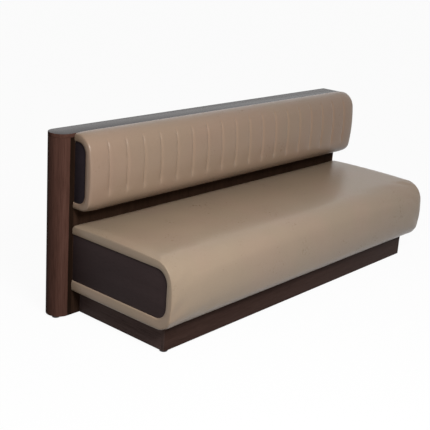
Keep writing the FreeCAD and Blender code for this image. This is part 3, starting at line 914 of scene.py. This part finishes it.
@dataclass(frozen=True)
class Stuffing:
    """How a cover is blown up over its foam by a short cloth simulation."""

    pressure: float
    reach: float
    frames: int = 20
    tension: float = 30.0
    bending: float = 2.0

    def fill(self, piece: Piece, held: Callable[[Vector], float]) -> None:
        """Puffs the piece and keeps the result in its mesh.

        Args:
            piece: The closed cover.
            held: Says how firmly a point is held, from 0 to 1.
        """
        group = piece.vertex_groups.new(name="held")
        for point in piece.data.vertices:
            group.add([point.index], held(point.co), "REPLACE")
        rest = [point.co.copy() for point in piece.data.vertices]
        cloth = piece.modifiers.new("stuffing", "CLOTH")
        cloth.collision_settings.use_collision = False
        cloth.point_cache.frame_end = self.frames
        weave = cloth.settings
        weave.vertex_group_mass = "held"
        weave.effector_weights.gravity = 0.0
        weave.use_pressure = True
        weave.uniform_pressure_force = self.pressure
        weave.tension_stiffness = weave.compression_stiffness = self.tension
        weave.bending_stiffness = self.bending
        scene = bpy.context.scene
        for step in range(1, self.frames + 1):
            scene.frame_set(step)
        blown = piece.evaluated_get(bpy.context.evaluated_depsgraph_get())
        moved = [point.co.copy() for point in blown.data.vertices]
        piece.modifiers.remove(cloth)
        piece.vertex_groups.remove(group)
        scene.frame_set(1)
        for point, start, end in zip(piece.data.vertices, rest, moved):
            move = end - start
            if move.length > 1e-7:
                point.co = start + move * (self.reach * math.tanh(move.length / self.reach) / move.length)
        LOG.info("%s: moved up to %.1f mm", piece.name, 1000 * max((e - s).length for s, e in zip(rest, moved)))


# How a cover rolls over at an end, ring by ring from the panel's recess out to the body: each is as far in from
# the end's plane, and then in from the outline, in metres.
END_ROLL = (
    (0.0150, 0.0438), (0.0040, 0.0438), (0.0014, 0.0431), (0.0002, 0.0408), (-0.0006, 0.0350), (-0.0010, 0.0280),
    (-0.0010, 0.0205), (-0.0008, 0.0145), (-0.0004, 0.0100), (0.0003, 0.0071), (0.0013, 0.0050), (0.0028, 0.0033),
    (0.0048, 0.0022), (0.0075, 0.0015), (0.0115, 0.0010), (0.0180, 0.0006), (0.0270, 0.0002), (0.0400, 0.0),
)
BACKREST_ROLL = END_ROLL[:6] + (
    (-0.0010, 0.0235), (-0.0008, 0.0185), (-0.0003, 0.0140), (0.0004, 0.0110), (0.0016, 0.0086), (0.0035, 0.0067),
    (0.0059, 0.0054), (0.0089, 0.0046), (0.0140, 0.0037), (0.0220, 0.0026), (0.0330, 0.0015), (0.0480, 0.0006),
    (0.0680, 0.0),
)
# The ring of a roll that the end's seam follows.
SEAM_RING = 9


@dataclass
class Cushion:
    """A vinyl cover over foam, with a dark panel let into each end."""

    name: str
    node: str
    outer: Outline
    inner: Outline
    counts: tuple[int, ...]
    stuffing: Stuffing
    roll: tuple[tuple[float, float], ...] = END_ROLL
    left: float = -0.987
    right: float = 1.069
    face: float = 0.256
    pad: float = 0.044  # inset of the end panels' outline
    shrink: float = 0.0010  # room that the stuffing fills
    tuck: float = 0.009  # of the rear edge behind an end panel
    close: float = 0.0001  # points nearer than this are on a ring
    rear_hold: float = 0.002  # reach of the tacks at the rear
    under_hold: float = 0.004  # and of those underneath
    under_free: float = 0.030  # room between them and the roll
    rings: dict[float, list[Point]] = field(default_factory=dict)

    def ring(self, inset: float) -> list[Point]:
        """The outline's points at an inset.

        Args:
            inset: How far it is in from the outline.

        Returns:
            The points, as forward and height.
        """
        if inset not in self.rings:
            self.rings[inset] = self.outer.inside(self.inner, (inset + self.shrink) / self.pad).points(self.counts)
        return self.rings[inset]

    def stations(self) -> list[tuple[float, float]]:
        """The places along the cushion, left to right, as X and inset.

        Returns:
            The places.
        """
        ends = [(self.left + run, inset) for run, inset in self.roll]
        mirrored = [(self.right - run, inset) for run, inset in reversed(self.roll)]
        return ends + [(x, 0.0) for x in self.body_places()] + mirrored

    def body_places(self) -> list[float]:
        """Places of the rings between the ends."""
        return []

    def build(self, vinyl: Finish) -> Piece:
        """Models, stuffs and dresses the cushion.

        Args:
            vinyl: The cover's finish.

        Returns:
            The finished piece.
        """
        piece = self.extrude_cover()
        self.divide_body(piece)
        self.stuffing.fill(piece, self.held)
        self.sew(piece)
        apply_modifier(piece, "SUBSURF", levels=1, render_levels=1)
        smooth(piece, 180.0)
        return finish_piece(piece, vinyl, "vinyl", self.node)

    def extrude_cover(self) -> Piece:
        """Extrudes the outline from one end's recess to the other's.

        Returns:
            The closed cover.
        """
        stations = self.stations()
        piece = add_outline(self.name, self._at(stations[0]))
        with shaping(piece):
            for last, place in zip(stations, stations[1:]):
                extrude(0.0, 0.0, 0.0)
                self._lay(piece, self._at(last), place)
            face_outwards()
        return piece

    def _at(self, station: tuple[float, float]) -> list[Vector]:
        """A ring's points in space, tucked in where the cover runs behind an end panel.

        Args:
            station: X and inset of the ring.

        Returns:
            The points, in order.
        """
        x, inset = station
        tuck = self.tuck + inset * 0.02
        tucked = min(max(x, self.left + tuck), self.right - tuck)
        places = []
        for forward, height in self.ring(inset):
            behind = forward < 0.0004 and self.inner.underside < height < self.inner.top
            places.append(Vector((tucked if behind else x, self.face - forward, height)))
        return places

    def _lay(self, piece: Piece, was: Sequence[Vector], station: tuple[float, float]) -> None:
        """Lays the selected ring at a station.

        Args:
            piece: The cover in edit mode.
            was: Where the ring's points are now, in order.
            station: X and inset of its new place.
        """
        shape = bmesh.from_edit_mesh(piece.data)
        order = {tuple(round(c, 5) for c in place): index for index, place in enumerate(was)}
        goal = self._at(station)
        for point in shape.verts:
            if point.select:
                point.co = goal[order[tuple(round(c, 5) for c in point.co)]]
        bmesh.update_edit_mesh(piece.data)

    def divide_body(self, piece: Piece) -> None:
        """Cuts the long faces of the cover into short ones."""

    def held(self, point: Vector) -> float:
        """How firmly the foam and tacks hold a point of the cover."""
        behind = self.face - point.y < self.rear_hold
        return float(behind or self._beneath(point) or self._on_end_seam(point))

    def _beneath(self, point: Vector) -> bool:
        """Whether a point lies on the flat of the underside."""
        flat = self.outer.depth - self.outer.bottom_radius - self.under_free
        return point.z < self.outer.underside + self.under_hold and self.face - point.y < flat

    def _run(self, point: Vector) -> float:
        """How far in a point is from the nearer end's plane."""
        return min(point.x - self.left, self.right - point.x)

    def _on_end_seam(self, point: Vector) -> bool:
        """Whether a point lies on a ring of an end that is tacked or stitched."""
        rings = (self.roll[index] for index in (0, 1, 2, SEAM_RING))
        return any(abs(self._run(point) - run) < self.close and self._on_ring(point, inset) for run, inset in rings)

    def _on_ring(self, point: Vector, inset: float) -> bool:
        """Whether a point lies on the ring at an inset."""
        forward = self.face - point.y
        return any(abs(f - forward) + abs(h - point.z) < 2 * self.close for f, h in self.ring(inset))

    def sew(self, piece: Piece) -> None:
        """Marks the end seams on the cover.

        Args:
            piece: The cover.
        """
        seam = piece.data.attributes.new("seam", "FLOAT", "POINT")
        for point in piece.data.vertices:
            away = abs(self._run(point.co) - self.roll[SEAM_RING][0])
            seam.data[point.index].value = float(away < 0.0012)


@dataclass
class SeatCushion(Cushion):
    """The plain seat, slightly crowned, with a large roll along its front."""

    columns: int = 110

    def divide_body(self, piece: Piece) -> None:
        """Cuts the seat's long faces into short ones.

        Args:
            piece: The cover.
        """
        with shaping(piece):
            choose(piece, Part.EDGES, lambda e: abs(e.verts[0].co.x - e.verts[1].co.x) > 0.5)
            bpy.ops.mesh.subdivide(number_cuts=self.columns)


@dataclass
class BackrestCushion(Cushion):
    """The backrest, stitched into upright channels across its face."""

    roll: tuple[tuple[float, float], ...] = BACKREST_ROLL
    channels: int = 19
    seam_width: float = 0.0220
    seam_profile: tuple[float, ...] = (0.0, 0.0006, 0.0032, 0.0064, 0.0036, 0.0014, 0.0)  # depth across the groove
    seam_hold: tuple[float, ...] = (0.0, 0.3, 0.7, 1.0, 0.7, 0.3, 0.0)  # how firmly each of its lines is held
    seam_top: float = 0.838  # where the seams have half faded out
    seam_bottom: float = 0.612
    fade: float = 0.042
    columns: int = 6

    def body_places(self) -> list[float]:
        """Places of the seams between channels."""
        return [between(self.left, self.right, step / self.channels) for step in range(1, self.channels)]

    def divide_body(self, piece: Piece) -> None:
        """Opens a groove at each seam and cuts the channels into short faces.

        Args:
            piece: The cover.
        """
        seams = self.body_places()
        with shaping(piece):
            choose(piece, Part.EDGES, lambda e: any(all(abs(v.co.x - x) < 1e-5 for v in e.verts) for x in seams))
            steps = len(self.seam_profile) - 1
            bpy.ops.mesh.bevel(offset=self.seam_width / 2, segments=steps, profile=0.5, affect="EDGES")
            choose(piece, Part.EDGES, lambda e: abs(e.verts[0].co.x - e.verts[1].co.x) > 0.05)
            bpy.ops.mesh.subdivide(number_cuts=self.columns)

    def seam_step(self, point: Vector) -> int:
        """Which line of a seam's profile a point is on, or -1.

        Args:
            point: A point of the cover.

        Returns:
            The index of the line, or -1 away from the seams.
        """
        pitch = (self.right - self.left) / self.channels
        nearest = round((point.x - self.left) / pitch)
        if not 0 < nearest < self.channels:
            return -1
        away = point.x - self.left - nearest * pitch + self.seam_width / 2
        step = round(away / self.seam_width * (len(self.seam_profile) - 1))
        return step if 0 <= step < len(self.seam_profile) else -1

    def seam_strength(self, point: Vector) -> float:
        """How fully a point of the cover lies in a stitched seam, from 0 to 1.

        Args:
            point: The point.

        Returns:
            Its share of a full seam.
        """
        if self.face - point.y < 0.06 or self.seam_step(point) < 0:
            return 0.0
        rise = min((point.z - self.seam_bottom) / self.fade, (self.seam_top - point.z) / self.fade)
        rise = max(0.0, min(1.0, 0.5 + rise))
        return rise * rise * (3 - 2 * rise)

    def held(self, point: Vector) -> float:
        """How firmly the foam, tacks and stitches hold a point of the cover."""
        return max(super().held(point), self.seam_strength(point) * self.seam_hold[self.seam_step(point)])

    def sew(self, piece: Piece) -> None:
        """Pulls the stitched seams in and marks them.

        Args:
            piece: The cover.
        """
        super().sew(piece)
        seam = piece.data.attributes["seam"]
        middle = Vector((0.0, self.face, (self.outer.top + self.outer.underside) / 2))
        for point in piece.data.vertices:
            strength = self.seam_strength(point.co)
            if strength > 0.0:
                depth = self.seam_profile[self.seam_step(point.co)]
                inward = Vector((0.0, middle.y - point.co.y, (middle.z - point.co.z) * 0.1)).normalized()
                point.co += inward * (depth * strength)
                seam.data[point.index].value = strength * depth / max(self.seam_profile)


@dataclass
class StitchRows:
    """The thread that shows in the backrest's upright seams."""

    cushion: BackrestCushion
    length: float = 0.0042
    gap: float = 0.0022
    thickness: float = 0.0011

    def build(self, cover: Piece, thread: Finish) -> Piece:
        """Models one stitch and sews copies of it down each seam.

        Args:
            cover: The finished backrest cover.
            thread: The thread's finish.

        Returns:
            All the stitches as one piece.
        """
        pattern = self._stitch()
        faces = [tuple(face.vertices) for face in cover.data.polygons]
        skin = BVHTree.FromPolygons([point.co for point in cover.data.vertices], faces)
        stitches = []
        pitch = self.length + self.gap
        rows = int((self.cushion.seam_top - self.cushion.seam_bottom) / pitch)
        for x in self.cushion.body_places():
            for row in range(rows):
                z = self.cushion.seam_bottom + (row + 0.5) * pitch
                place, normal, _, _ = skin.ray_cast(Vector((x, -1.0, z)), Vector((0.0, 1.0, 0.0)))
                if place:
                    stitches.append(self._copy(pattern, place, normal))
        bpy.data.objects.remove(pattern)
        pick_only(*stitches)
        bpy.ops.object.join()
        piece = bpy.context.view_layer.objects.active
        piece.name = piece.data.name = "backrest_stitches"
        smooth(piece, 60.0)
        return finish_piece(piece, thread, "vinyl")

    def _stitch(self) -> Piece:
        """One stitch: a short bar with both ends turned down.

        Returns:
            The stitch, at the origin.
        """
        stitch = add_round("stitch", Vector((0.0, 0.0, 0.0)), self.thickness / 2, self.length * 0.6, 6)
        with shaping(stitch):
            for side in (1.0, -1.0):
                choose(stitch, Part.FACES, lambda f: f.normal.z * side > 0.9)
                extrude(0.0, self.thickness * 0.5, side * self.length * 0.2)
                bpy.ops.transform.resize(value=(0.55, 0.55, 0.55))
        return stitch

    def _copy(self, pattern: Piece, place: Vector, normal: Vector) -> Piece:
        """A copy of the stitch, laid on the cover.

        Args:
            pattern: The stitch.
            place: Where it lies.
            normal: The cover's direction there.

        Returns:
            The copy, with its place in its mesh.
        """
        stitch = bpy.data.objects.new("stitch", pattern.data.copy())
        bpy.context.scene.collection.objects.link(stitch)
        lean = math.atan2(normal.z, -normal.y)
        turn = Matrix.Rotation(-lean, 4, "X")
        stitch.data.transform(Matrix.Translation(place + normal * self.thickness * 0.25) @ turn)
        return stitch


@dataclass
class EndPanel:
    """A dark panel let into one end of a cushion."""

    node: str
    outline: Outline
    counts: tuple[int, ...]
    face: float = 0.256
    ease: float = 0.0016

    def build(self, laminate: Finish) -> Piece:
        """Models the panel from its outline, with eased edges.

        Args:
            laminate: Its finish.

        Returns:
            The finished piece.
        """
        low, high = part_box(self.node)
        points = self.outline.points(self.counts)
        places = [Vector((low.x, self.face - forward, height)) for forward, height in points]
        piece = add_outline(self.node.replace("_panel", "_facing"), places)
        with shaping(piece):
            extrude(high.x - low.x, 0.0, 0.0)
            face_outwards()
        ease_edges(piece, self.ease, 3, 1.2)
        return finish_piece(piece, laminate, "dark_laminate", self.node)


# Woodwork


@dataclass
class BackPanel:
    """The veneered panel behind the cushions, with a rounded left end and a flat cap."""

    radius: float = 0.060
    skin: float = 0.012
    cap_ease: float = 0.0014
    sides: int = 96

    def build(self, finishes: Wardrobe) -> list[Piece]:
        """Models the rounded end and the cap.

        Args:
            finishes: The finishes.

        Returns:
            The finished pieces.
        """
        return [self._rounded_end(finishes.made["walnut_veneer"]), self._cap(finishes.made["dark_lacquer"])]

    def _half_round(self, name: str, node: str, closed: bool) -> Piece:
        """An upright half cylinder in a node's place.

        Args:
            name: The piece's name.
            node: The node whose left end it has.
            closed: Whether the cut face is filled.

        Returns:
            The half cylinder.
        """
        low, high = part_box(node)
        centre = Vector((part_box("back_front_skin")[0].x, (low.y + high.y) / 2, (low.z + high.z) / 2))
        piece = add_round(name, centre, self.radius, high.z - low.z, self.sides)
        with shaping(piece):
            bpy.ops.mesh.select_all(action="SELECT")
            bpy.ops.mesh.bisect(plane_co=centre, plane_no=(1.0, 0.0, 0.0), use_fill=closed, clear_outer=True)
        return piece

    def _rounded_end(self, veneer: Finish) -> Piece:
        """The bent skin round the left end.

        Args:
            veneer: Its finish.

        Returns:
            The finished piece.
        """
        piece = self._half_round("back_rounded_skin", "back_rounded_end", False)
        with shaping(piece):
            choose(piece, Part.FACES, lambda f: abs(f.normal.z) > 0.5)
            bpy.ops.mesh.delete(type="FACE")
            face_outwards()
            shape = bmesh.from_edit_mesh(piece.data)
            if sum(f.normal.x for f in shape.faces) > 0:
                bpy.ops.mesh.flip_normals()
        apply_modifier(piece, "SOLIDIFY", thickness=self.skin, offset=-1.0)
        smooth(piece)
        return finish_piece(piece, veneer, "walnut_veneer", "back_rounded_end")

    def _cap(self, lacquer: Finish) -> Piece:
        """The capping board along the top of the panel.

        Args:
            lacquer: Its finish.

        Returns:
            The finished piece.
        """
        piece = self._half_round("back_capping", "back_top_cap", True)
        low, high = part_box("back_top_cap")
        with shaping(piece):
            choose(piece, Part.FACES, lambda f: f.normal.x > 0.9)
            shape = bmesh.from_edit_mesh(piece.data)
            cut = max(v.co.x for v in shape.verts)
            extrude(high.x - cut, 0.0, 0.0)
        ease_edges(piece, self.cap_ease, 3, 0.9)
        return finish_piece(piece, lacquer, "dark_lacquer", "back_top_cap")


@dataclass
class Plinth:
    """The recessed walnut plinth boards with eased edges."""

    nodes: tuple[str, ...] = ("plinth_front_board", "plinth_end_board_left", "plinth_end_board_right")
    ease: float = 0.0009

    def build(self, finishes: Wardrobe) -> list[Piece]:
        """Models each visible board.

        Args:
            finishes: The finishes.

        Returns:
            The finished pieces.
        """
        pieces = []
        for node in self.nodes:
            piece = add_block(node.replace("_board", "_facing"), *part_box(node))
            ease_edges(piece, self.ease)
            pieces.append(finish_piece(piece, finishes.for_node(node, "dark_walnut"), "dark_walnut", node))
        return pieces


# Studio


@dataclass(frozen=True)
class Lamp:
    """A square soft lamp."""

    name: str
    place: tuple[float, float, float]
    target: tuple[float, float, float]
    side: float
    power: float  # in watts

    def build(self) -> None:
        """Hangs the lamp and points it."""
        data = bpy.data.lights.new(self.name, "AREA")
        data.size = self.side
        data.energy = self.power
        lamp = bpy.data.objects.new(self.name, data)
        bpy.context.scene.collection.objects.link(lamp)
        lamp.location = self.place
        lamp.rotation_euler = (Vector(self.target) - Vector(self.place)).to_track_quat("-Z", "Y").to_euler()


@dataclass
class Studio:
    """The pale floor, soft lamps and camera round the banquette."""

    position: tuple[float, float, float] = (-3.53129, -2.71684, 1.77988)
    yaw: float = 0.87033
    pitch: float = 0.30984
    roll: float = 0.07116
    lens: float = 76.324
    zenith: float = 0.18  # light of the surroundings from above
    horizon: float = 0.07  # and from the sides
    lamps: tuple[Lamp, ...] = (
        Lamp("key_lamp", (-1.9, -2.6, 2.8), (-0.4, 0.0, 0.45), 1.1, 127.0),
        Lamp("side_lamp", (-3.0, -2.5, 0.8), (-1.0, -0.1, 0.25), 1.2, 13.0),
    )
    floor_paint: Colour = (0.25, 0.25, 0.247)  # as it lights the bench
    floor_seen: Colour = (0.95, 0.95, 0.95)  # as the camera sees it
    floor_white: float = 0.955  # share of plain white in that

    def build(self) -> None:
        """Sets up the view, the surroundings, the lamps and the camera."""
        bpy.context.scene.view_settings.view_transform = "Standard"
        self._world()
        self._floor()
        for lamp in self.lamps:
            lamp.build()
        self._camera()

    def _world(self) -> None:
        """White surroundings that fill softly."""
        world = bpy.context.scene.world = bpy.data.worlds.new("studio")
        tree = FinishTree("studio", world)
        up = tree.part(tree.coordinates.outputs["Generated"], 2)
        sky = tree.node("ShaderNodeMapRange", None, {"Value": up, "To Min": self.horizon, "To Max": self.zenith})
        soft, white = (
            tree.node("ShaderNodeBackground", None, {"Color": (1.0, 1.0, 1.0), "Strength": strength})
            for strength in (sky.outputs["Result"], 1.0)
        )
        seen = tree.seen_by("Camera", "Glossy", "Transmission")
        tree.close(tree.mix(soft, white, seen), "ShaderNodeOutputWorld")

    def _floor(self) -> None:
        """A pale floor that shows white but keeps the banquette's shadow."""
        floor = add_new("studio_floor", bpy.ops.mesh.primitive_plane_add, size=60.0, location=(0.0, 0.0, 0.0))
        tree = FinishTree("studio_floor")
        colour = tree.blend(self.floor_paint, self.floor_seen, tree.seen_by("Camera"))
        inputs = {"Base Color": colour, "Roughness": 0.9, "Specular IOR Level": 0.0}
        paint = tree.node("ShaderNodeBsdfPrincipled", None, inputs)
        white = tree.node("ShaderNodeEmission", None, {"Color": (1.0, 1.0, 1.0), "Strength": 1.0})
        tree.close(tree.mix(paint, white, tree.seen_by("Camera", "Glossy", "Transmission") * self.floor_white))
        floor.data.materials.append(tree.owner)

    def _camera(self) -> None:
        """Sets the camera at the photograph's angle."""
        level = Vector((math.sin(self.yaw), math.cos(self.yaw), 0.0))
        ahead = level * math.cos(self.pitch) - Vector((0.0, 0.0, math.sin(self.pitch)))
        across = Vector((math.cos(self.yaw), -math.sin(self.yaw), 0.0))
        up = across.cross(ahead)
        right = across * math.cos(self.roll) + up * math.sin(self.roll)
        top = -across * math.sin(self.roll) + up * math.cos(self.roll)
        data = bpy.data.cameras.new("view")
        data.lens = self.lens
        data.sensor_width = 36.0
        data.clip_end = 100.0
        camera = bpy.data.objects.new("view", data)
        bpy.context.scene.collection.objects.link(camera)
        turn = Matrix((right, top, -ahead)).transposed().to_4x4()
        camera.matrix_world = Matrix.Translation(self.position) @ turn
        bpy.context.scene.camera = camera


# The banquette


@dataclass
class Banquette:
    """The whole seat, from its plinth to its backrest."""

    seat_outline: Outline = Outline(0.450, 0.128, 0.636, 0.008, 0.007, 0.107, 0.072, 0.014)
    seat_panel: Outline = Outline(0.406, 0.181, 0.596, 0.0, 0.0, 0.062, 0.062, 0.003)
    rest_outline: Outline = Outline(0.875, 0.521, 0.120, 0.0025, 0.009, 0.094, 0.056, 0.004)
    rest_panel: Outline = Outline(0.836, 0.554, 0.074, 0.0, 0.0, 0.048, 0.048, 0.003)
    seat_counts: tuple[int, ...] = (4, 25, 14, 8, 10, 12, 16)
    rest_counts: tuple[int, ...] = (2, 3, 12, 20, 8, 4, 12)

    def build(self, finishes: Wardrobe) -> None:
        """Builds every sub-assembly and dresses the rest of the frame.

        Args:
            finishes: The finishes.
        """
        seat = (self.seat_outline, self.seat_panel, self.seat_counts, Stuffing(4.0, 0.005))
        SeatCushion("seat_cover", "seat_cushion", *seat).build(finishes.made["vinyl"])
        back = (self.rest_outline, self.rest_panel, self.rest_counts, Stuffing(4.0, 0.0045))
        rest = BackrestCushion("backrest_cover", "backrest_cushion", *back)
        cover = rest.build(finishes.made["back_vinyl"])
        StitchRows(rest).build(cover, finishes.made["thread"])
        for side in ("left", "right"):
            seat_end = EndPanel(f"seat_end_panel_{side}", self.seat_panel, (2, 12, 10, 6, 8, 12, 4))
            seat_end.build(finishes.made["dark_laminate"])
            rest_end = EndPanel(f"backrest_end_panel_{side}", self.rest_panel, (2, 2, 10, 8, 10, 2, 8))
            rest_end.build(finishes.made["back_laminate"])
        BackPanel().build(finishes)
        Plinth().build(finishes)
        self.dress_frame(finishes)

    def dress_frame(self, finishes: Wardrobe) -> None:
        """Gives each carried-over part its finish.

        Args:
            finishes: The finishes.
        """
        for part in frame["record"]["subparts"]:
            node = frame["nodes"][part["node"]]
            finish = finishes.for_node(part["node"], part["material_slot"])
            if not node.material_slots:
                node.data.materials.append(finish)
            for slot in node.material_slots:
                slot.material = finish
            LOG.info("%s: %s", part["node"], finish.name)


def main() -> None:
    """Builds the studio and the banquette."""
    logging.basicConfig(level=logging.INFO, format="%(name)s: %(message)s")
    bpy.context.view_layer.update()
    Studio().build()
    Banquette().build(Wardrobe())


if __name__ == "__main__":
    main()
